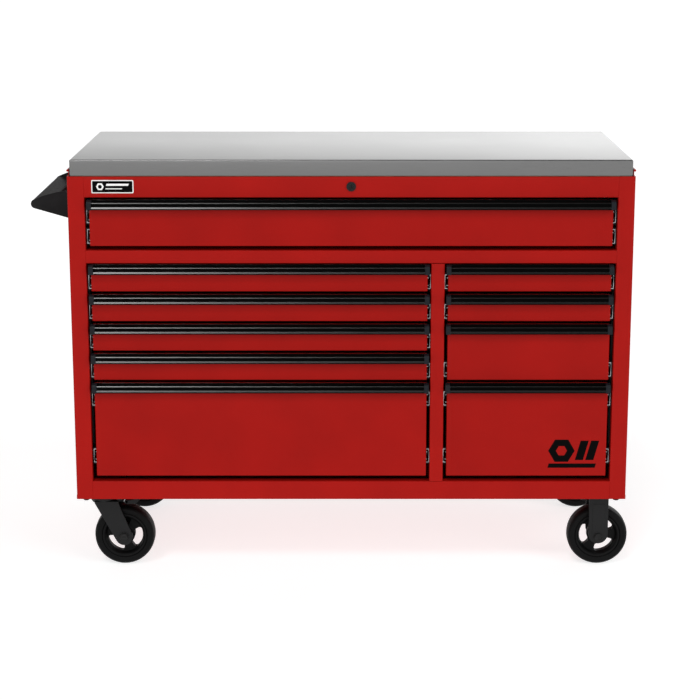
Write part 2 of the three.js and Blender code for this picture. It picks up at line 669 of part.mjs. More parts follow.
for (const [name, drawer] of Object.entries(DRAWERS)) {
  add(`${name}_box`, drawerBox(drawer), PAINT);
  add(`${name}_pull`, drawerPull(drawer), ANODISED);
}

add("lock_barrel", lockBarrel(), BLACK_METAL);
add("lock_plug", lockPlug(), ZINC);
add("lock_shaft", lockShaft(), ZINC);
add("latch_frame", latchFrame(), ZINC);

const [handleFront, handleBack] = HANDLE.y;
add("handle_bracket_front", handleBracket([handleFront, handleFront + HANDLE.plate], handleFront + HANDLE.footDepth), BLACK_PLASTIC);
add("handle_bracket_rear", handleBracket([handleBack - HANDLE.plate, handleBack], handleBack - HANDLE.footDepth), BLACK_PLASTIC);
add("handle_grip", handleGrip(), BLACK_PLASTIC);
addCasters();

// The origin is the middle of the base of the whole object's box.
const box = new THREE.Box3().setFromObject(chest);
chest.position.set(-(box.min.x + box.max.x) / 2, -(box.min.y + box.max.y) / 2, -box.min.z);

const toolChest = new THREE.Group();
toolChest.add(chest);
export default toolChest;
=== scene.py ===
"""A rolling tool chest: materials, rounded sheet metal, pulls, slides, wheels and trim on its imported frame.

Metres throughout, in the frame's own axes: +X to the right seen from the front, +Y to the back, +Z up.
"""

import math

import bmesh
import bpy
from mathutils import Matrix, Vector


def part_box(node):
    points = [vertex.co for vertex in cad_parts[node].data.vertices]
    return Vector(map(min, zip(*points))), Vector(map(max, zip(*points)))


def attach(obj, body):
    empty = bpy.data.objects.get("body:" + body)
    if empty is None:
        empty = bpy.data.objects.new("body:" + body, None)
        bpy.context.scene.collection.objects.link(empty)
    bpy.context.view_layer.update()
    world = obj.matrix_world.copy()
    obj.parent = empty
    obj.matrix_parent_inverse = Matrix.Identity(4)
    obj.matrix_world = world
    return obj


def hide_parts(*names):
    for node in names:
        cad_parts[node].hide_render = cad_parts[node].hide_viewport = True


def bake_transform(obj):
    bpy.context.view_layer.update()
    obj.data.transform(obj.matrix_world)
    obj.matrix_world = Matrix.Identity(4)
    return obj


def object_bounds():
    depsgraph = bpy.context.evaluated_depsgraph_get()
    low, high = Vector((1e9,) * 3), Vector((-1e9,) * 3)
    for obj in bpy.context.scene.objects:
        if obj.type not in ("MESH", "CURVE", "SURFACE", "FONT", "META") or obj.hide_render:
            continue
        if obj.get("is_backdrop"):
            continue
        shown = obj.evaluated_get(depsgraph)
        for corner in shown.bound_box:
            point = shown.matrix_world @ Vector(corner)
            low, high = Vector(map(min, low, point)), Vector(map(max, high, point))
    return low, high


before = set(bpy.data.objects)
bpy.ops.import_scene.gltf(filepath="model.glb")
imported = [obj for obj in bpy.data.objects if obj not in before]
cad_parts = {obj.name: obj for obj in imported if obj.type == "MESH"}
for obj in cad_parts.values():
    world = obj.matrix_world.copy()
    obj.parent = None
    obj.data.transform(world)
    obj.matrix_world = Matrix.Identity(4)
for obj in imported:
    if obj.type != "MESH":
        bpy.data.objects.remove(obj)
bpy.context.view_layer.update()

MM = 0.001
SHEET = 1.2 * MM
GAP = 0.3 * MM  # between two sheets fastened together
BEND = 2.2 * MM  # outer radius of the cabinet's folds
EDGE = 0.25 * MM  # softening of the cabinet's cut edges

ROWS = ("front", "rear")
DRAWERS = sorted(name[: -len("_box")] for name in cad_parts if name.endswith("_box"))


# ---------------------------------------------------------------- materials
def tree_of(name):
    """A new material with its nodes, its links and its shader."""
    made = bpy.data.materials.new(name)
    made.use_nodes = True
    nodes = made.node_tree.nodes
    return made, nodes, made.node_tree.links, nodes["Principled BSDF"]


def noise(nodes, links, scale, detail=4.0, roughness=0.5, stretch=None):
    """A noise texture in the frame's own coordinates, optionally stretched along its axes."""
    where = nodes.new("ShaderNodeTexCoord").outputs["Object"]
    if stretch:
        mapping = nodes.new("ShaderNodeMapping")
        mapping.inputs["Scale"].default_value = stretch
        links.new(where, mapping.inputs["Vector"])
        where = mapping.outputs["Vector"]
    texture = nodes.new("ShaderNodeTexNoise")
    texture.inputs["Scale"].default_value = scale
    texture.inputs["Detail"].default_value = detail
    texture.inputs["Roughness"].default_value = roughness
    links.new(where, texture.inputs["Vector"])
    return texture.outputs["Fac"]


def ramp(nodes, links, source, low, high):
    """Two colours mixed by a texture, from its 0.3 to its 0.7."""
    made = nodes.new("ShaderNodeValToRGB")
    first, last = made.color_ramp.elements
    first.position, first.color = 0.3, (*low, 1)
    last.position, last.color = 0.7, (*high, 1)
    links.new(source, made.inputs["Fac"])
    return made.outputs["Color"]


def spread(nodes, links, source, low, high, start=0.3, end=0.7):
    """A value's start to end stretched over low to high; most of a noise lies within 0.3 to 0.7."""
    made = nodes.new("ShaderNodeMapRange")
    for key, number in (("From Min", start), ("From Max", end), ("To Min", low), ("To Max", high)):
        made.inputs[key].default_value = number
    links.new(source, made.inputs["Value"])
    return made.outputs["Result"]


def combine(nodes, links, operation, a, b):
    """Two values multiplied or added; b may be a number."""
    made = nodes.new("ShaderNodeMath")
    made.operation = operation
    links.new(a, made.inputs[0])
    if isinstance(b, float):
        made.inputs[1].default_value = b
    else:
        links.new(b, made.inputs[1])
    return made.outputs["Value"]


def bump(nodes, links, shader, height, strength, distance):
    made = nodes.new("ShaderNodeBump")
    made.inputs["Strength"].default_value = strength
    made.inputs["Distance"].default_value = distance
    links.new(height, made.inputs["Height"])
    links.new(made.outputs["Normal"], shader.inputs["Normal"])


def uneven(nodes, links, shader, source, colour, darker, lighter):
    """The shader's colour, varied by a texture between two shares of it."""
    low, high = (tuple(min(1.0, part * share) for part in colour) for share in (darker, lighter))
    links.new(ramp(nodes, links, source, low, high), shader.inputs["Base Color"])


def cells(nodes, links, scale):
    """A cell texture in the frame's own coordinates."""
    texture = nodes.new("ShaderNodeTexVoronoi")
    texture.inputs["Scale"].default_value = scale
    links.new(nodes.new("ShaderNodeTexCoord").outputs["Object"], texture.inputs["Vector"])
    return texture


def powder_coat(name, colour, roughness, gloss, peel=0.12):
    """Powder coat: a slightly uneven colour, cloudy gloss and fine orange peel."""
    made, nodes, links, shader = tree_of(name)
    uneven(nodes, links, shader, noise(nodes, links, 7.0, 5.0), colour, 0.93, 1.06)
    links.new(spread(nodes, links, noise(nodes, links, 60.0), *roughness), shader.inputs["Roughness"])
    shader.inputs["Specular IOR Level"].default_value = gloss
    bump(nodes, links, shader, noise(nodes, links, 900.0, 2.0), peel, 0.05 * MM)
    return made


def brushed(name, colour, roughness, stretch, scale=30.0, metallic=1.0, relief=0.12):
    """Brushed metal: grain drawn out along one axis, in its colour, gloss and height."""
    made, nodes, links, shader = tree_of(name)
    grain = noise(nodes, links, scale, 6.0, 0.7, stretch)
    cloud = noise(nodes, links, 3.0, 3.0)
    most = combine(nodes, links, "MULTIPLY", grain, 0.75)
    blended = combine(nodes, links, "ADD", combine(nodes, links, "MULTIPLY", cloud, 0.25), most)
    uneven(nodes, links, shader, blended, colour, 0.9, 1.08)
    links.new(spread(nodes, links, blended, *roughness), shader.inputs["Roughness"])
    shader.inputs["Metallic"].default_value = metallic
    bump(nodes, links, shader, grain, relief, 0.03 * MM)
    return made


def zinc_plate(name, colour, roughness):
    """Zinc plating: small crystals of slightly different brightness."""
    made, nodes, links, shader = tree_of(name)
    shade = nodes.new("ShaderNodeRGBToBW")
    links.new(cells(nodes, links, 260.0).outputs["Color"], shade.inputs["Color"])
    uneven(nodes, links, shader, shade.outputs["Val"], colour, 0.86, 1.1)
    links.new(spread(nodes, links, noise(nodes, links, 90.0), *roughness), shader.inputs["Roughness"])
    shader.inputs["Metallic"].default_value = 1.0
    bump(nodes, links, shader, noise(nodes, links, 500.0, 3.0), 0.15, 0.04 * MM)
    return made


def moulded(name, colour, roughness, grain_scale, strength, gloss=0.5):
    """Moulded plastic or rubber: a fine pebbled grain and faint colour variation."""
    made, nodes, links, shader = tree_of(name)
    uneven(nodes, links, shader, noise(nodes, links, 25.0), colour, 0.85, 1.15)
    links.new(spread(nodes, links, noise(nodes, links, 140.0), *roughness), shader.inputs["Roughness"])
    shader.inputs["Specular IOR Level"].default_value = gloss
    bump(nodes, links, shader, cells(nodes, links, grain_scale).outputs["Distance"], strength, 0.08 * MM)
    return made


def board(name):
    """Wood board: long dark streaks over a pale ground."""
    made, nodes, links, shader = tree_of(name)
    grain = noise(nodes, links, 14.0, 8.0, 0.65, (1.0, 14.0, 14.0))
    tones = ramp(nodes, links, grain, (0.30, 0.19, 0.10), (0.52, 0.37, 0.21))
    links.new(tones, shader.inputs["Base Color"])
    links.new(spread(nodes, links, grain, 0.7, 0.85), shader.inputs["Roughness"])
    bump(nodes, links, shader, grain, 0.3, 0.2 * MM)
    return made


RED = powder_coat("red_powder_coat", (0.328, 0.0054, 0.0034), (0.34, 0.44), 0.08)
DRAWER_RED = powder_coat("drawer_powder_coat", (0.308, 0.0047, 0.0029), (0.34, 0.44), 0.08)
BLACK_STEEL = powder_coat("black_powder_coat", (0.0050, 0.0052, 0.0056), (0.42, 0.55), 0.22, 0.3)
# Black zinc for screws, bolts and the lock's plug; on the slide racks it also stands in for the shade in the
# gaps beside the drawers, painted shade.
BLACK_ZINC_AND_GAP_SHADE = zinc_plate("black_zinc_and_gap_shade", (0.025, 0.025, 0.025), (0.35, 0.5))
JET = (0.0008, 0.0008, 0.0008)
# Two copies of the pull's black: a nearly glossless one, so that most of the pull reflects nothing (painted
# shade), and a glossy one for the faces that catch the key light (painted highlight).
PULL_SHADED_BLACK = powder_coat("pull_shaded_black", JET, (0.4, 0.5), 0.02, 0.02)
PULL_LIT_BLACK = brushed("pull_lit_black", JET, (0.18, 0.21), (1.0, 40.0, 40.0), metallic=0.0, relief=0.01)
CAP_PLASTIC = moulded("cap_plastic", (0.007, 0.0085, 0.0115), (0.4, 0.52), 1500.0, 0.25, 0.15)
HANDLE_BLACK = moulded("handle_black", (0.016, 0.016, 0.0165), (0.5, 0.6), 1100.0, 0.15, 0.03)
STAINLESS = brushed("stainless", (0.185, 0.185, 0.184), (0.26, 0.34), (1.0, 60.0, 60.0), 22.0, relief=0.015)
ZINC = zinc_plate("zinc", (0.62, 0.63, 0.65), (0.25, 0.38))
RUBBER = moulded("tyre_rubber", (0.0010, 0.0010, 0.0011), (0.5, 0.64), 700.0, 0.3, 0.12)
CORE_PLASTIC = moulded("wheel_core", (0.003, 0.003, 0.0031), (0.45, 0.6), 900.0, 0.2, 0.1)
FOAM = moulded("drawer_liner", (0.02, 0.021, 0.022), (0.75, 0.9), 500.0, 0.6, 0.2)
BOARD = board("worktop_board")
PALE_PRINT = moulded("pale_print", (0.78, 0.78, 0.76), (0.35, 0.45), 1200.0, 0.05)
VINYL = moulded("black_vinyl", (0.0015, 0.0015, 0.0015), (0.3, 0.4), 1300.0, 0.05, 0.03)


# ---------------------------------------------------------------- mesh helpers
TOUCH = 1e-6  # points this near to each other, or to a plane, count as touching


def spot(axis, u, v, along):
    """The point at (u, v) across an axis and at a place along it."""
    return Vector({"x": (along, u, v), "y": (u, along, v), "z": (u, v, along)}[axis])


def add_object(name, data):
    """A new object in the scene that shows a mesh, a light or a camera."""
    made = bpy.data.objects.new(name, data)
    bpy.context.scene.collection.objects.link(made)
    return made


def mesh_object(name, bm):
    """A new object with the shape that bm holds."""
    bmesh.ops.recalc_face_normals(bm, faces=bm.faces)
    mesh = bpy.data.meshes.new(name)
    bm.to_mesh(mesh)
    bm.free()
    return add_object(name, mesh)


def piece(name, bm, material, body, bevel=0.0, angle=40.0, segments=2, stands_for=(), shell=0.0):
    """A piece that rides on a body, smoothly shaded.

    Edges sharper than angle, in degrees, are softened by bevel or else stay hard; an open shape gets a wall
    as thick as shell, and the piece is shown in place of the CAD nodes that it stands for.
    """
    bmesh.ops.remove_doubles(bm, verts=bm.verts, dist=TOUCH)
    made = mesh_object(name, bm)
    mesh = made.data
    mesh.materials.append(material)
    mesh.shade_smooth()
    if shell:
        wall = made.modifiers.new("wall", "SOLIDIFY")
        wall.thickness = shell
        wall.offset = -1.0
    if bevel:
        soften(made, bevel, angle, segments)
    else:
        mesh.set_sharp_from_angle(angle=math.radians(angle))
    if stands_for:
        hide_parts(*stands_for)
    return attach(made, body)


def soften(made, width, angle, segments=2):
    """Bevels the edges sharper than angle, and shades the faces beside them flat."""
    edges = made.modifiers.new("edges", "BEVEL")
    edges.width = width
    edges.segments = segments
    edges.limit_method = "ANGLE"
    edges.angle_limit = math.radians(angle)
    edges.harden_normals = True
    shading = made.modifiers.new("shading", "WEIGHTED_NORMAL")
    shading.keep_sharp = True


def run(bm, outline, axis, start, end):
    """A closed outline run along an axis, with its two ends filled."""
    near = [bm.verts.new(spot(axis, u, v, start)) for u, v in outline]
    far = [bm.verts.new(spot(axis, u, v, end)) for u, v in outline]
    bm.faces.new(near)
    bm.faces.new(far[::-1])
    for i, _ in enumerate(outline):
        bm.faces.new((near[i - 1], near[i], far[i], far[i - 1]))


def turned(bm, profile, axis, centre, segments, closed=False):
    """A profile of (radius, place along the axis), turned; its ends are filled unless it is closed."""
    rings = []
    for radius, along in profile:
        points = [spot(axis, u, v, along) for u, v in disc((0, 0), radius, segments)]
        rings.append([bm.verts.new(centre + point) for point in points])
    pairs = list(zip(rings, rings[1:]))
    if closed:
        pairs.append((rings[-1], rings[0]))
    else:
        bm.faces.new(rings[0])
        bm.faces.new(rings[-1][::-1])
    for first, second in pairs:
        for i in range(segments):
            bm.faces.new((first[i - 1], first[i], second[i], second[i - 1]))


BELOW, ABOVE, BEHIND = (2, -1), (2, 1), (1, 1)  # a block's open side: its axis, and which of its two ends


def block(bm, low, high, radius=0.0, steps=3, open_side=None, rolled=False):
    """A block with rounded edges between two corners; an open side's rim is sharp or rolled in."""
    made = bmesh.ops.create_cube(bm, size=1.0)["verts"]
    low, high = Vector(low), Vector(high)
    middle, size = (low + high) / 2, high - low
    for vert in made:
        vert.co = Vector(middle[i] + vert.co[i] * size[i] for i in range(3))
    rim = set()
    if open_side:
        axis, way = open_side
        wall = (high if way > 0 else low)[axis]
        rim = {v for v in made if abs(v.co[axis] - wall) < TOUCH}
    if radius:
        edges = {e for v in made for e in v.link_edges}
        edges = [e for e in edges if rolled or not rim.issuperset(e.verts)]
        bmesh.ops.bevel(bm, geom=edges, offset=radius, segments=steps, profile=0.5, affect="EDGES")
    if open_side:
        gone = [f for f in bm.faces if all(abs(v.co[axis] - wall) < TOUCH for v in f.verts)]
        bmesh.ops.delete(bm, geom=gone, context="FACES")


def round_corners(points, radii, steps):
    """An open line with its corners rounded by their own radii, as (point, direction) pairs."""
    p = [Vector(q) for q in points]
    made = [(p[0], (p[1] - p[0]).normalized())]
    for i in range(1, len(p) - 1):
        before, after = (p[i] - p[i - 1]).normalized(), (p[i + 1] - p[i]).normalized()
        turn = before.angle_signed(after, 0.0)
        if abs(turn) < 1e-4 or radii[i] <= 0:
            made.append((p[i], (before + after).normalized()))
            continue
        reach = radii[i] * math.tan(abs(turn) / 2)
        start = p[i] - before * reach
        way = 1 if before.cross(after) > 0 else -1
        centre = start + Vector((-before.y, before.x)) * radii[i] * way
        for step in range(steps + 1):
            a = abs(turn) * step / steps * way
            c, s = math.cos(a), math.sin(a)
            arm = start - centre
            made.append((
                centre + Vector((arm.x * c - arm.y * s, arm.x * s + arm.y * c)),
                Vector((before.x * c - before.y * s, before.x * s + before.y * c)),
            ))
    made.append((p[-1], (p[-1] - p[-2]).normalized()))
    return made


def bent(points, thickness=SHEET, radius=BEND, steps=4):
    """The outline of a folded sheet with round bends: its thickness lies to the left of the points."""
    p = [Vector(q) for q in points]
    left = [Vector((-(b - a).y, (b - a).x)).normalized() for a, b in zip(p, p[1:])]
    middle = []
    for i, point in enumerate(p):
        first, second = left[max(i - 1, 0)], left[min(i, len(left) - 1)]
        mitre = (first + second).normalized()
        middle.append(point + mitre * (thickness / 2 / mitre.dot(first)))
    line = round_corners(middle, [radius - thickness / 2] * len(middle), steps)
    normals = [Vector((-d.y, d.x)) for _, d in line]
    outer = [q - n * thickness / 2 for (q, _), n in zip(line, normals)]
    inner = [q + n * thickness / 2 for (q, _), n in zip(line, normals)]
    return [tuple(q) for q in outer + inner[::-1]]


def in_mm(shape):
    """Points given in millimetres."""
    return [tuple(number * MM for number in point) for point in shape]


def loop_of(shape, steps):
    """A closed outline with rounded corners, each given as (u, v, radius)."""
    points = [Vector((u, v)) for u, v, _ in shape]
    start = (points[-1] + points[0]) / 2
    line = round_corners([start, *points, start], [0, *(radius for _, _, radius in shape), 0], steps)
    return [tuple(q) for q, _ in line[:-1]]


def moved(outline, u, v):
    return [(a + u, b + v) for a, b in outline]


def mirrored(side):
    """A turned profile from the points of its upper half: (radius, height, corner radius)."""
    return [(u, -v, radius) for u, v, radius in side] + side[::-1]


def rectangle(u, v, width, height, radius):
    """A rounded rectangle about (u, v)."""
    corners = [(-1, -1), (1, -1), (1, 1), (-1, 1)]
    return loop_of([(u + width / 2 * a, v + height / 2 * b, radius) for a, b in corners], 5)


def arc_points(u, v, radius, start, end, count=24):
    """Points along an arc about (u, v), between two angles in degrees."""
    turns = [math.radians(start + (end - start) * i / count) for i in range(count + 1)]
    return [(u + radius * math.cos(a), v + radius * math.sin(a)) for a in turns]


def disc(centre, radius, segments=24):
    return arc_points(*centre, radius, 0, 360, segments)[:-1]


def screw(bm, centre, axis, way, radius, height, washer):
    """A hexagon screw head on its washer, standing off a surface; way is +1 or -1 along the axis."""
    rim = [(washer, 0), (washer, 1.0 * MM * way), (washer - 0.6 * MM, 1.4 * MM * way)]
    turned(bm, rim, axis, centre, 28)
    low, high = 1.3 * MM * way, (1.3 * MM + height) * way
    turned(bm, [(radius, low), (radius, high - 0.7 * MM * way), (radius * 0.86, high)], axis, centre, 6)


def cut(target, bm):
    """Cuts the shape that bm holds out of a piece."""
    cutter = mesh_object("cutter", bm)
    bpy.context.view_layer.update()
    mod = target.modifiers.new("cut", "BOOLEAN")
    mod.operation = "DIFFERENCE"
    mod.solver = "EXACT"
    mod.object = cutter
    depsgraph = bpy.context.evaluated_depsgraph_get()
    result = bpy.data.meshes.new_from_object(target.evaluated_get(depsgraph))
    target.modifiers.remove(mod)
    target.data = result
    bpy.data.objects.remove(cutter)


# ---------------------------------------------------------------- cabinet
left_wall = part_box("left_side_panel")[0]
right_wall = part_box("right_side_panel")[1]
rail_low, rail_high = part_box("top_rail")
FRONT = rail_low.y
CENTRE = (left_wall.x + right_wall.x) / 2
BODY_TOP = rail_high.z + GAP
SEAM = 1.8 * MM  # how far the rails' ends reach over the posts' rounded edges
FOOT = 10.3 * MM  # height of the base pan's skirt under the side walls
POST = 40.8 * MM  # width of the front posts, folded from the side walls
BEAD = 2.9 * MM  # radius of the rolled bead on top of each side wall
RAIL_DEPTH = 25 * MM


def side_panel(side, way):
    """The side wall with its front post and back flange, and the beaded lip beside the worktop."""
    node = f"{side}_side_panel"
    low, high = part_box(node)
    wall = low.x if way < 0 else high.x
    back = high.y

    def folded(points, radius=BEND):
        flipped = [(wall - way * u, v) for u, v in points]
        return bent(flipped if way < 0 else flipped[::-1], radius=radius)

    bm = bmesh.new()
    folds = [(20 * MM, back), (0, back), (0, FRONT), (POST, FRONT), (POST, FRONT + 22 * MM)]
    run(bm, folded(folds), "z", low.z + FOOT, BODY_TOP)
    lip, lip_start = 3.6 * MM, FRONT + 4 * MM
    ledge = [(lip, high.z - BEAD), (lip, BODY_TOP), (0, BODY_TOP), (0, BODY_TOP - 6 * MM)]
    run(bm, folded(ledge, 1.6 * MM), "y", lip_start, back)
    run(bm, disc((wall - way * 1.9 * MM, high.z - BEAD), BEAD, 20), "y", lip_start, back)
    piece(f"{side}_side", bm, RED, "cabinet", EDGE, stands_for=[node])

    bm = bmesh.new()
    hem = FRONT + 3 * MM
    run(bm, folded([(0, hem), (0, FRONT), (POST, FRONT), (POST, hem)]), "z", low.z, low.z + FOOT)
    piece(f"{side}_post_foot", bm, RED, "cabinet")


side_panel("left", -1)
side_panel("right", 1)


def rail_outline(low, high):
    return bent([(FRONT + RAIL_DEPTH, high), (FRONT, high), (FRONT, low), (FRONT + RAIL_DEPTH, low)])


bm = bmesh.new()
run(bm, rail_outline(rail_low.z, rail_high.z), "x", rail_low.x - SEAM, rail_high.x + SEAM)
top_rail = piece("front_rail_top", bm, RED, "cabinet", stands_for=["top_rail"])

# The lock's hole in the top rail.
lock_low, lock_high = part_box("lock_barrel")
LOCK = Vector(((lock_low.x + lock_high.x) / 2, FRONT, (lock_low.z + lock_high.z) / 2))
bm = bmesh.new()
turned(bm, in_mm([(9.8, -5), (9.8, 5)]), "y", LOCK, 40)
cut(top_rail, bm)
top_rail.data.set_sharp_from_angle(angle=math.radians(40))

# The middle rail, and the shelf behind it with its back edge turned down.
shelf_low, shelf_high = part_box("mid_shelf")
bm = bmesh.new()
run(bm, rail_outline(shelf_low.z, shelf_high.z), "x", rail_low.x - SEAM, rail_high.x + SEAM)
block(bm, (shelf_low.x, FRONT + 22.3 * MM, shelf_high.z - SHEET), shelf_high)
block(bm, (shelf_low.x, shelf_high.y - SHEET, shelf_low.z + 8 * MM), shelf_high)
piece("front_rail_middle", bm, RED, "cabinet", EDGE, stands_for=["mid_shelf"])

# The bottom rail: a face and an upper flange.
foot_low, foot_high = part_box("bottom_rail")
bm = bmesh.new()
angle_iron = bent([(FRONT + RAIL_DEPTH, foot_high.z), (FRONT, foot_high.z), (FRONT, foot_low.z)])
run(bm, angle_iron, "x", foot_low.x - SEAM, foot_high.x + SEAM)
piece("front_rail_bottom", bm, RED, "cabinet", EDGE, stands_for=["bottom_rail"])

# The centre post, whose two side plates reach down behind the bottom rail.
post_low, post_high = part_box("centre_divider")
bm = bmesh.new()
left, right, back = post_low.x, post_high.x, post_high.y
plan = bent([(right, back), (right, FRONT), (left, FRONT), (left, back)])
run(bm, plan, "z", foot_high.z + GAP, post_high.z)
for x in (left, right - SHEET):
    block(bm, (x, FRONT + RAIL_DEPTH + GAP, post_low.z), (x + SHEET, back, foot_high.z + 2 * MM))
piece("centre_post", bm, RED, "cabinet", EDGE, stands_for=["centre_divider"])

# Worktop: a stainless sheet with rounded edges and corners, open underneath.
work_low, work_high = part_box("worktop_skin")
bm = bmesh.new()
block(bm, work_low, work_high, 3.5 * MM, 6, BELOW, rolled=True)
piece(
    "worktop_sheet", bm, STAINLESS, "cabinet",
    angle=50.0, stands_for=["worktop_skin"], shell=1.5 * MM,
)

# ---------------------------------------------------------------- drawers
SLIDE_START = FRONT + 14 * MM
SLIDE_END = SLIDE_START + 508 * MM
# Heights in millimetres: the tubs' walls, and the slides above the drawers' lower edges.
SHALLOW, SHALLOW_SLIDES = 46, (22,)
WALLS = {"top_drawer": 96, "left_drawer_5": 212, "right_drawer_3": 118, "right_drawer_4": 212}
SLIDES = {
    "top_drawer": (72.6, 22),
    "left_drawer_5": (196.3, 49.1),
    "right_drawer_3": (24,),
    "right_drawer_4": (196.3, 49.1),
}
ROLLED_TUBS = ("top_drawer", "right_drawer_3")  # their rims are rolled in, the others' are cut
FRONT_INSET = 4.8 * MM  # from the drawer's box, which is as wide as its slides' rails, to its front's ends
TUB_INSET = 8.0 * MM  # and to its tub's sides
FRONT_DEPTH = 12 * MM
PULL_HEIGHT = 24  # in millimetres, like the outlines' points
PULL_CAP = 11.5 * MM  # length of the end caps
RIBS = 26


def c_section(root, tip, middle, half, thickness):
    """An upright C open towards tip: its web at root, its flanges running to tip."""
    points = [(tip, middle - half), (root, middle - half), (root, middle + half), (tip, middle + half)]
    return bent(points if root > tip else points[::-1], thickness, 1.0 * MM, 3)


def pull_outline(top, back):
    """Back plate, finger groove, lip edge, a shallow hollow and a sloping nose, in (y, z)."""
    shape = [
        (0, 0.6, 0), (0, 24, 0.8), (2.2, 24, 0.8), (2.2, 8.0, 3.5), (8.2, 5.6, 3.0), (10.6, 18.0, 0.9),
        (12.0, 18.4, 0.6), (13.9, 15.6, 1.6), (12.9, 7.8, 3.0), (16.0, 2.9, 1.6), (15.4, 0.6, 1.0),
    ]
    return moved(loop_of(in_mm([(-u, v - PULL_HEIGHT, r) for u, v, r in shape]), 6), back, top)


def cap_outline(top, back):
    """The closed shape of a pull's end cap."""
    shape = [(0, 0, 0.5), (0, 24, 1.0), (6, 24, 2.5), (13.5, 21, 2.5), (16, 17.5, 2.0), (16, 0, 1.2)]
    return moved(loop_of(in_mm([(-u, v - PULL_HEIGHT, r) for u, v, r in shape]), 6), back, top)


def drawer(name):
    """The drawer's hemmed front, its tub with a liner, its pull and its slides."""
    low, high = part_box(f"{name}_box")
    x0, x1 = low.x + TUB_INSET, high.x - TUB_INSET
    floor = low.z + 4 * MM
    rim = floor + WALLS.get(name, SHALLOW) * MM

    bm = bmesh.new()
    front_low = (low.x + FRONT_INSET, low.y, low.z)
    front_high = (high.x - FRONT_INSET, low.y + FRONT_DEPTH, high.z)
    block(bm, front_low, front_high, 2.0 * MM, 4, BEHIND, rolled=True)
    piece(
        f"{name}_front", bm, DRAWER_RED, name,
        angle=50.0, stands_for=[f"{name}_box"], shell=SHEET,
    )

    bm = bmesh.new()
    block(bm, (x0, low.y + 2.0 * MM, floor), (x1, high.y, rim), 2.0 * MM, 3, ABOVE, name in ROLLED_TUBS)
    piece(f"{name}_tub", bm, DRAWER_RED, name, angle=50.0, shell=SHEET)

    bm = bmesh.new()
    for a, b in ((x0, x0 + 7 * MM), (x1 - 7 * MM, x1)):
        block(bm, (a, low.y + 16 * MM, rim - 2.4 * MM), (b, high.y, rim), 1.0 * MM, 3)
    piece(f"{name}_hems", bm, DRAWER_RED, name)

    liner(name, (x0, low.y + 8 * MM, floor + SHEET), (x1, high.y - 5 * MM))
    pull(name)
    slides(name, low, x0, x1)


def liner(name, low, high):
    """A ribbed liner on the tub's floor."""
    (x0, y0, z), (x1, y1) = low, high
    margin = 3 * MM
    bm = bmesh.new()
    block(bm, (x0 + margin, y0, z), (x1 - margin, y1, z + 1.4 * MM))
    for i in range(RIBS):
        y = y0 + (y1 - y0) * (i + 0.5) / RIBS
        rib_low = (x0 + 2 * margin, y - 4 * MM, z + 1.2 * MM)
        block(bm, rib_low, (x1 - 2 * margin, y + 4 * MM, z + 2.2 * MM))
    piece(f"{name}_liner", bm, FOAM, name, 0.4 * MM, segments=1)


def pull(name):
    """The extruded pull along the front's top, and its two end caps. Its faces that slope up towards the key
    light get a glossy black, a painted highlight; the rest gets a nearly glossless black that reflects
    nothing, painted shade.
    """
    low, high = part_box(f"{name}_pull")
    overlap = 1 * MM
    bm = bmesh.new()
    run(bm, pull_outline(high.z, high.y), "x", low.x + PULL_CAP - overlap, high.x - PULL_CAP + overlap)
    grip = piece(
        f"{name}_handle", bm, PULL_SHADED_BLACK, name,
        angle=38.0, stands_for=[f"{name}_pull"],
    )
    grip.data.materials.append(PULL_LIT_BLACK)
    # Faces that slope up towards the key light take the glossy black: a painted highlight.
    for face in grip.data.polygons:
        if face.normal.y < 0 and 0.47 < face.normal.z < 0.93:
            face.material_index = 1

    bm = bmesh.new()
    for a, b in ((low.x, low.x + PULL_CAP), (high.x - PULL_CAP, high.x)):
        run(bm, cap_outline(high.z, high.y), "x", a, b)
    piece(f"{name}_pull_caps", bm, CAP_PLASTIC, name, 0.7 * MM, segments=3)


def slides(name, low, x0, x1):
    """The slides' moving members: rails on the drawer's sides, and middles that travel half as far."""
    rails = bmesh.new()
    middles = bmesh.new()
    for height in SLIDES.get(name, SHALLOW_SLIDES):
        z = low.z + height * MM
        for side, way in ((x0, -1), (x1, 1)):
            tip, inner_tip, web = (side + way * out * MM for out in (6.4, 4.2, 10.7))
            section = c_section(side, tip, z, 10 * MM, 1.3 * MM)
            run(rails, section, "y", SLIDE_START + 1 * MM, SLIDE_END - 4 * MM)
            section = c_section(web, inner_tip, z, 17.5 * MM, 1.2 * MM)
            run(middles, section, "y", SLIDE_START + 0.5 * MM, SLIDE_END - 6 * MM)
            near, far = sorted(side + way * out * MM for out in (5, 8.5))
            for row in (z - 13.6 * MM, z + 13.6 * MM):
                cage = (near, SLIDE_START + 60 * MM, row - 2.2 * MM)
                block(middles, cage, (far, SLIDE_END - 40 * MM, row + 2.2 * MM), 0.6 * MM)
    piece(f"{name}_rails", rails, ZINC, name)
    made = piece(f"{name}_slide_middles", middles, ZINC, name)
    made.parent = None
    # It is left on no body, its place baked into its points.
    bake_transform(made)


for name in DRAWERS:
    drawer(name)


# ---------------------------------------------------------------- casters
LEG_FACES = ((-35 * MM, -30 * MM), (30 * MM, 35 * MM))  # y of each leg's two faces, from the wheel's middle
PLATE = 5.2 * MM
SWIVEL_START, RIGID_START = -0.24, math.pi  # the turn of the wheels' first openings


def arc_slot(turn, ring, length, width, corner):
    """A rounded rectangle bent round a ring of a given radius, centred on the angle turn."""
    flat = rectangle(0, 0, length, width, corner)
    fine = []
    for (u0, v0), (u1, v1) in zip(flat, flat[1:] + flat[:1]):
        count = max(1, math.ceil(abs(u1 - u0) / (3 * MM)))
        fine += [(u0 + (u1 - u0) * k / count, v0 + (v1 - v0) * k / count) for k in range(count)]
    polar = [(ring + v, turn + u / ring) for u, v in fine]
    return [(r * math.cos(a), r * math.sin(a)) for r, a in polar]


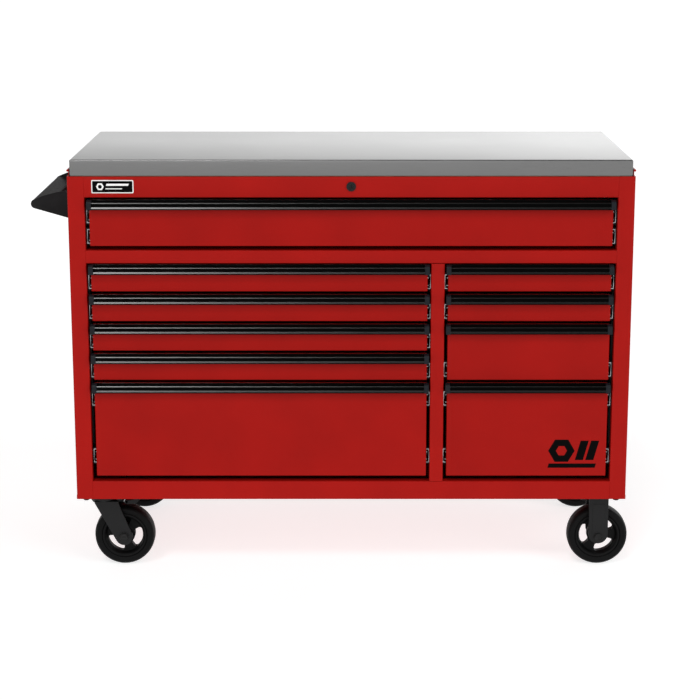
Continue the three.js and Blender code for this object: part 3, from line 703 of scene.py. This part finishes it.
def wheel(name, node, start):
    """A tyre on a moulded core with three arc-shaped openings, the first of them at the angle start."""
    low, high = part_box(node)
    centre = (low + high) / 2
    side = [
        (54, 17, 2.5), (57, 21.5, 1.0), (58.5, 23.2, 1.2),
        (69.0, 25.4, 2.0), (74.2, 20.5, 5.0), (76.2, 9.0, 12.0),
    ]
    fitted = (high.z - low.z) / 2 / (76.2 * MM)
    profile = [(radius * fitted, along) for radius, along in loop_of(in_mm(mirrored(side)), 4)]
    bm = bmesh.new()
    turned(bm, profile, "y", centre, 96, closed=True)
    piece(f"{name}_tyre", bm, RUBBER, node, angle=45.0, stands_for=[node])

    side = [
        (7, 28.9, 0.5), (17.5, 28.9, 1.5), (20.0, 12.0, 2.5), (23.0, 9.0, 2.0), (45.5, 7.5, 3.0),
        (49.0, 20.0, 2.0), (51.5, 22.5, 1.0), (56.0, 22.5, 1.0), (56.5, 17.0, 0),
    ]
    bm = bmesh.new()
    turned(bm, loop_of(in_mm(mirrored(side)), 4), "y", centre, 96, closed=True)
    core = piece(f"{name}_core", bm, CORE_PLASTIC, node)
    bm = bmesh.new()
    reach = 50 * MM
    for i in range(3):
        opening = arc_slot(start + i * 2 * math.pi / 3, 35.3 * MM, 49 * MM, 19.4 * MM, 6.5 * MM)
        run(bm, moved(opening, centre.x, centre.z), "y", centre.y - reach, centre.y + reach)
    cut(core, bm)
    core.data.shade_smooth()
    core.data.set_sharp_from_angle(angle=math.radians(38))
    soften(core, 0.5 * MM, 38.0)


def top_plate(bm, at):
    run(bm, rectangle(at.x, at.y, 101.6 * MM, 114.3 * MM, 9 * MM), "z", at.z - PLATE, at.z)


def swivel_plate(row, at):
    """The top plate, and the riveted end of the kingpin under the race."""
    bm = bmesh.new()
    top_plate(bm, at)
    kingpin = in_mm([(13, 155), (16, 156), (16, 158.7), (11, 158.7), (11, 189)])
    turned(bm, kingpin, "z", Vector((at.x, at.y, 0)), 48)
    node = f"caster_{row}_left_plate"
    piece(f"caster_{row}_left_top", bm, BLACK_STEEL, "cabinet", 0.8 * MM, stands_for=[node])


def swivel_fork(row, at, hub):
    """A domed race over two pressed legs that trail back to the axle."""
    body = f"caster_{row}_left_fork"
    bm = bmesh.new()
    dome = [(11.4, 159), (24, 159), (27.5, 160), (31.5, 163), (34.6, 167.5), (36, 172.5), (36, 176.2)]
    groove = [(35.2, 177), (35.2, 178), (36, 178.8)]
    upper = [(36, 183.2), (35.2, 184), (11.4, 184)]
    turned(bm, in_mm(dome + groove + upper), "z", Vector((at.x, at.y, 0)), 72, closed=True)
    piece(f"caster_{row}_left_race", bm, BLACK_STEEL, body, angle=50.0, stands_for=[body])

    bm = bmesh.new()
    left, right, top, under = at.x - 22 * MM, at.x + 37 * MM, 170 * MM, 165 * MM
    crown, tongue = 34.5 * MM, 20 * MM  # half widths
    block(bm, (left, at.y - crown, under), (right, at.y + crown, top))
    block(bm, (right - 1 * MM, at.y - tongue, under), (at.x + 50.2 * MM, at.y + tongue, top))
    tip = arc_points(hub.x, hub.z, 22 * MM, 207, 378)
    leg = [(left, top), (left, under), *tip, (right, under), (right, top)]
    for y0, y1 in LEG_FACES:
        run(bm, leg, "y", at.y + y0, at.y + y1)
    piece(f"caster_{row}_left_legs", bm, BLACK_STEEL, body, 1.3 * MM, 50.0, 3)


def toe_brake(row, at):
    """The brake's shoe and ribbed tread plate on its hinge."""
    body = f"caster_{row}_left_brake"
    side = [
        (53, 170, 1.5), (66, 170, 6), (92, 178, 6), (108, 178, 1.2),
        (108, 175, 1.2), (94, 175, 3), (80, 160, 4), (56, 160, 2),
    ]
    bm = bmesh.new()
    run(bm, moved(loop_of(in_mm(side), 4), at.x, 0), "y", at.y - 24 * MM, at.y + 24 * MM)
    turned(bm, in_mm([(5, -24), (5, 24)]), "y", Vector((at.x + 56 * MM, at.y, 165.5 * MM)), 32)
    for tread in (95.5, 99.5, 103.5):
        x = at.x + tread * MM
        low = (x - 1 * MM, at.y - 21 * MM, 177.5 * MM)
        block(bm, low, (x + 1 * MM, at.y + 21 * MM, 178.6 * MM), 0.4 * MM)
    piece(f"caster_{row}_left_pedal", bm, BLACK_STEEL, body, 0.8 * MM, stands_for=[body])


def rigid_frame(row, at, hub):
    """The top plate, two upright legs and the arch pressed into each."""
    bm = bmesh.new()
    top_plate(bm, at)
    half, top = 24.5 * MM, at.z - 3 * MM
    leg = [(hub.x - half, top), *arc_points(hub.x, hub.z + 7 * MM, half, 180, 360), (hub.x + half, top)]
    for y0, y1 in LEG_FACES:
        run(bm, leg, "y", at.y + y0, at.y + y1)
    node = f"caster_{row}_right_frame"
    piece(
        f"caster_{row}_right_legs", bm, BLACK_STEEL, "cabinet", 1.3 * MM, 50.0, 3,
        stands_for=[node],
    )

    bm = bmesh.new()
    half, arch_top = 15 * MM, top - 24 * MM
    crown = arc_points(hub.x, hub.z + 3 * MM, half, 180, 360)
    arch = [(hub.x - half, arch_top), *crown, (hub.x + half, arch_top)]
    for way in (-1, 1):
        face = at.y + way * 35 * MM
        run(bm, arch, "y", face - way * 0.5 * MM, face + way * 0.9 * MM)
    piece(f"caster_{row}_right_presses", bm, BLACK_STEEL, "cabinet", 0.6 * MM, 50.0)


def axle_bolt(row, side, hub, body):
    """A bolt through the legs, with a hexagon head, a nut and round washers."""
    bm = bmesh.new()
    turned(bm, in_mm([(6, -41), (6, 41)]), "y", hub, 32)
    for way in (-1, 1):
        face = hub + Vector((0, way * 35.2 * MM, 0))
        turned(bm, in_mm([(13, 0), (13, 1.2 * way), (12.2, 1.7 * way)]), "y", face, 40)
        turned(bm, in_mm([(11, 1.5 * way), (11, 5.4 * way), (9.8, 6.2 * way)]), "y", face, 6)
    node = f"caster_{row}_{side}_axle"
    piece(f"caster_{row}_{side}_bolt", bm, BLACK_ZINC_AND_GAP_SHADE, body, 0.3 * MM, stands_for=[node])


def plate_bolts(row, side, at):
    bm = bmesh.new()
    for u in (-41 * MM, 41 * MM):
        for v in (-44 * MM, 44 * MM):
            screw(bm, at + Vector((u, v, -PLATE)), "z", -1, 7.5 * MM, 6 * MM, 9 * MM)
    piece(f"caster_{row}_{side}_bolts", bm, BLACK_ZINC_AND_GAP_SHADE, "cabinet")


for row in ROWS:
    wheel(f"{row}_left", f"caster_{row}_left_wheel", SWIVEL_START)
    wheel(f"{row}_right", f"caster_{row}_right_wheel", RIGID_START)
    for side, holder in (("left", "plate"), ("right", "frame")):
        axle_low, axle_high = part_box(f"caster_{row}_{side}_axle")
        hub = (axle_low + axle_high) / 2
        plate_low, plate_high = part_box(f"caster_{row}_{side}_{holder}")
        at = Vector(((plate_low.x + plate_high.x) / 2, hub.y, plate_high.z))
        if side == "left":
            swivel_plate(row, at)
            swivel_fork(row, at, hub)
            toe_brake(row, at)
            axle_bolt(row, side, hub, f"caster_{row}_left_fork")
        else:
            rigid_frame(row, at, hub)
            axle_bolt(row, side, hub, "cabinet")
        plate_bolts(row, side, at)


# ---------------------------------------------------------------- trim
PRESSED = 0.05 * MM  # how deep trim reaches into what it lies on


def slab(name, outline, thickness, material, body, lift=0.0, bevel=0.05 * MM, at=FRONT):
    """A thin flat shape on a front face at y = at, standing off it by lift."""
    bm = bmesh.new()
    run(bm, outline, "y", at - lift - thickness, at - lift + PRESSED)
    piece(name, bm, material, body, bevel, 50.0)


def hexagon(x, z, radius):
    return disc((x, z), radius, 6)


def leaning_bar(x, z, width, height, lean):
    return [(x, z), (x + width, z), (x + width + lean, z + height), (x + lean, z + height)]


# Badge: a black plate with a pale rim, a hexagon nut and two leaning bars.
badge = Vector((CENTRE - 576.85 * MM, FRONT, 974.7 * MM))
rim_outline = rectangle(badge.x, badge.z, 101.9 * MM, 32.1 * MM, 3 * MM)
field_outline = rectangle(badge.x, badge.z, 97 * MM, 27.2 * MM, 2 * MM)
nut_x = badge.x - 30 * MM
FIELD, PRINT, HOLE = 0.9 * MM, 1.25 * MM, 1.55 * MM  # how far the badge's layers stand off the rail
slab("badge_rim", rim_outline, 0.9 * MM, PALE_PRINT, "cabinet", 0, 0.3 * MM)
slab("badge_field", field_outline, 0.35 * MM, VINYL, "cabinet", FIELD, 0.1 * MM)
nut = hexagon(nut_x, badge.z, 9.5 * MM)
slab("badge_nut", nut, 0.3 * MM, PALE_PRINT, "cabinet", PRINT, 0.1 * MM)
hole = disc((nut_x, badge.z), 4.6 * MM)
slab("badge_nut_hole", hole, 0.15 * MM, VINYL, "cabinet", HOLE)
for i, bar in enumerate([(-16, 2.2, 54, 5.0), (-18, -6.2, 40, 2.2)]):
    start, z, length, height = (n * MM for n in bar)
    outline = leaning_bar(badge.x + start, badge.z + z, length, height, 2.2 * MM)
    slab(f"badge_bar_{i}", outline, 0.3 * MM, PALE_PRINT, "cabinet", PRINT, 0.1 * MM)

# Emblem on the lowest right drawer: a nut and leaning bars in black vinyl.
low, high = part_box("right_drawer_4_box")
emblem_x, emblem_z = CENTRE + 552 * MM, low.z + 57 * MM
VINYL_THICKNESS = 0.25 * MM
bm = bmesh.new()
outer, inner = (hexagon(emblem_x - 28 * MM, emblem_z + 8 * MM, radius * MM) for radius in (33, 14))
for i in range(6):
    side = [outer[i - 1], outer[i], inner[i], inner[i - 1]]
    run(bm, side, "y", low.y - VINYL_THICKNESS, low.y + PRESSED)
piece("emblem_nut", bm, VINYL, "right_drawer_4")
for i, bar in enumerate([(6, -16, 20, 50), (32, -16, 20, 50), (-62, -36, 118, 11)]):
    start, z, length, height = (n * MM for n in bar)
    outline = leaning_bar(emblem_x + start, emblem_z + z, length, height, height * 0.27)
    slab(f"emblem_bar_{i}", outline, VINYL_THICKNESS, VINYL, "right_drawer_4", at=low.y)

# Push handle: two moulded brackets and the grip between them.
grip_low, grip_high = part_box("handle_grip")
LEAN = -16.0  # degrees
GRIP_RADIUS, GRIP_SPAN = 10.9 * MM, 27 * MM
TIP_RADIUS, TIP_Z = 11.4 * MM, 918.8 * MM


def bracket(row):
    """A foot on the side wall, and an arm that narrows along a hollow curve to its round tip."""
    node = f"handle_bracket_{row}"
    low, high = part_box(node)
    y0, y1 = (low.y, low.y + 8 * MM) if row == "front" else (high.y - 8 * MM, high.y)
    tip_x = low.x + TIP_RADIUS
    start, finish = (high.x, high.z), (tip_x - 6.2 * MM, TIP_Z + 9.6 * MM)
    bow = (tip_x + 44 * MM, high.z - 1 * MM)
    upper = []
    for i in range(1, 16):
        t = i / 16
        shares = ((1 - t) ** 2, 2 * t * (1 - t), t * t)
        upper.append([sum(w * n for w, n in zip(shares, line)) for line in zip(start, bow, finish)])
    bm = bmesh.new()
    arm = [(high.x, low.z), start, *upper, *arc_points(tip_x, TIP_Z, TIP_RADIUS, 123, 255)]
    run(bm, arm, "y", y0, y1)
    middle, size = (low + high) / 2, high - low
    foot = rectangle(middle.y, middle.z, size.y, size.z - 8 * MM, 3 * MM)
    run(bm, foot, "x", high.x - 4 * MM, high.x)
    piece(f"{node}_arm", bm, HANDLE_BLACK, "cabinet", 1.8 * MM, 40.0, 4, stands_for=[node])

    bm = bmesh.new()
    screw_y = high.y - 14 * MM if row == "front" else low.y + 14 * MM
    for z in (905 * MM, 934 * MM):
        screw(bm, Vector((high.x - 4 * MM, screw_y, z)), "x", -1, 4.5 * MM, 3 * MM, 6.5 * MM)
    piece(f"handle_screws_{row}", bm, BLACK_ZINC_AND_GAP_SHADE, "cabinet")


bracket("front")
bracket("rear")

bm = bmesh.new()
x, z = grip_low.x + GRIP_RADIUS, TIP_Z
tilt = math.radians(LEAN)
far_x, far_z = x + GRIP_SPAN * math.cos(tilt), z + GRIP_SPAN * math.sin(tilt)
section = arc_points(x, z, GRIP_RADIUS, 90 + LEAN, 270 + LEAN, 16)
section += arc_points(far_x, far_z, GRIP_RADIUS, LEAN - 90, LEAN + 90, 16)
run(bm, section, "y", grip_low.y, grip_high.y)
piece("handle_bar", bm, HANDLE_BLACK, "cabinet", angle=50.0, stands_for=["handle_grip"])

# ---------------------------------------------------------------- finish of the carried-over nodes
# The material of each node that is shown as it was packed, by the start of its name.
FINISHES = {
    "back_panel": RED,
    "base_pan": RED,
    "worktop_board": BOARD,
    "lock_barrel": BLACK_STEEL,
    "lock_plug": BLACK_ZINC_AND_GAP_SHADE,
    "lock_shaft": ZINC,
    "latch_frame": ZINC,
    # The racks are dark so that the gaps beside the drawers read dark: painted shade.
    "slide_rack": BLACK_ZINC_AND_GAP_SHADE,
}
for name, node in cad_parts.items():
    if node.hide_render:
        continue
    finish = next(made for start, made in FINISHES.items() if name.startswith(start))
    node.data.materials.clear()
    node.data.materials.append(finish)
    if "custom_normal" in node.data.attributes:
        node.data.attributes.remove(node.data.attributes["custom_normal"])
    node.data.shade_smooth()
    weld = node.modifiers.new("weld", "WELD")
    weld.merge_threshold = 0.01 * MM
    flat = node.modifiers.new("flat", "DECIMATE")
    flat.decimate_type = "DISSOLVE"
    flat.angle_limit = math.radians(0.5)
    soften(node, 0.45 * MM, 35.0, 3)


# ---------------------------------------------------------------- stage, light and camera
def pale_floor():
    """A matt floor that shines a little, so that only soft shadows show on its white."""
    bm = bmesh.new()
    bmesh.ops.create_grid(bm, x_segments=1, y_segments=1, size=60.0)
    made = mesh_object("floor", bm)
    material, nodes, links, shader = tree_of("floor_paint")
    tones = ramp(nodes, links, noise(nodes, links, 1.5), (0.48, 0.48, 0.48), (0.5, 0.5, 0.5))
    links.new(tones, shader.inputs["Base Color"])
    shader.inputs["Roughness"].default_value = 0.9
    shader.inputs["Specular IOR Level"].default_value = 0.1
    shader.inputs["Emission Color"].default_value = (1, 1, 1, 1)
    shader.inputs["Emission Strength"].default_value = 0.72
    made.data.materials.append(material)
    made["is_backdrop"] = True


pale_floor()


def sun(name, azimuth, elevation, strength, width):
    """A distant light, its angles in degrees; azimuth is measured from the front towards the right."""
    data = bpy.data.lights.new(name, "SUN")
    data.energy = strength
    data.angle = math.radians(width)
    made = add_object(name, data)
    a, e = math.radians(azimuth), math.radians(elevation)
    towards = Vector((math.sin(a) * math.cos(e), -math.cos(a) * math.cos(e), math.sin(e)))
    made.rotation_mode = "QUATERNION"
    made.rotation_quaternion = towards.to_track_quat("Z", "Y")


sun("key", -19, 52, 0.75, 14)
sun("front", -6, 24, 0.5, 40)
sun("fill", 48, 32, 0.8, 34)

# The studio: a pale surround that fades upwards, and a bright wall behind the chest, brighter towards the
# right, which the worktop reflects.
world = bpy.data.worlds.new("studio")
bpy.context.scene.world = world
world.use_nodes = True
nodes, links = world.node_tree.nodes, world.node_tree.links
nodes["Background"].inputs["Color"].default_value = (1, 1, 1, 1)
direction = nodes.new("ShaderNodeSeparateXYZ")
links.new(nodes.new("ShaderNodeTexCoord").outputs["Generated"], direction.inputs["Vector"])
behind = spread(nodes, links, direction.outputs["Y"], 0.0, 1.0, -0.1, 0.6)
across = spread(nodes, links, direction.outputs["X"], 0.15, 1.8, -0.3, 0.35)
low_band = spread(nodes, links, direction.outputs["Z"], 1.0, 0.0, 0.35, 0.55)
surround = spread(nodes, links, direction.outputs["Z"], 0.95, 0.14, 0.2, 0.45)
wall = combine(nodes, links, "MULTIPLY", combine(nodes, links, "MULTIPLY", behind, across), low_band)
links.new(combine(nodes, links, "ADD", wall, surround), nodes["Background"].inputs["Strength"])

# The camera stands before the chest's middle, a little above its top, and looks down by 13 degrees.
camera = add_object("camera", bpy.data.cameras.new("camera"))
camera.data.lens = 100.06
camera.data.sensor_width = 36.0
camera.data.clip_end = 200.0
camera.location = (CENTRE - 2.97 * MM, FRONT - 4.6676, 1.6447)
camera.rotation_euler = (math.radians(90 - 12.968), 0, 0)
bpy.context.scene.camera = camera
bpy.context.scene.view_settings.view_transform = "Standard"

low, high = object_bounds()
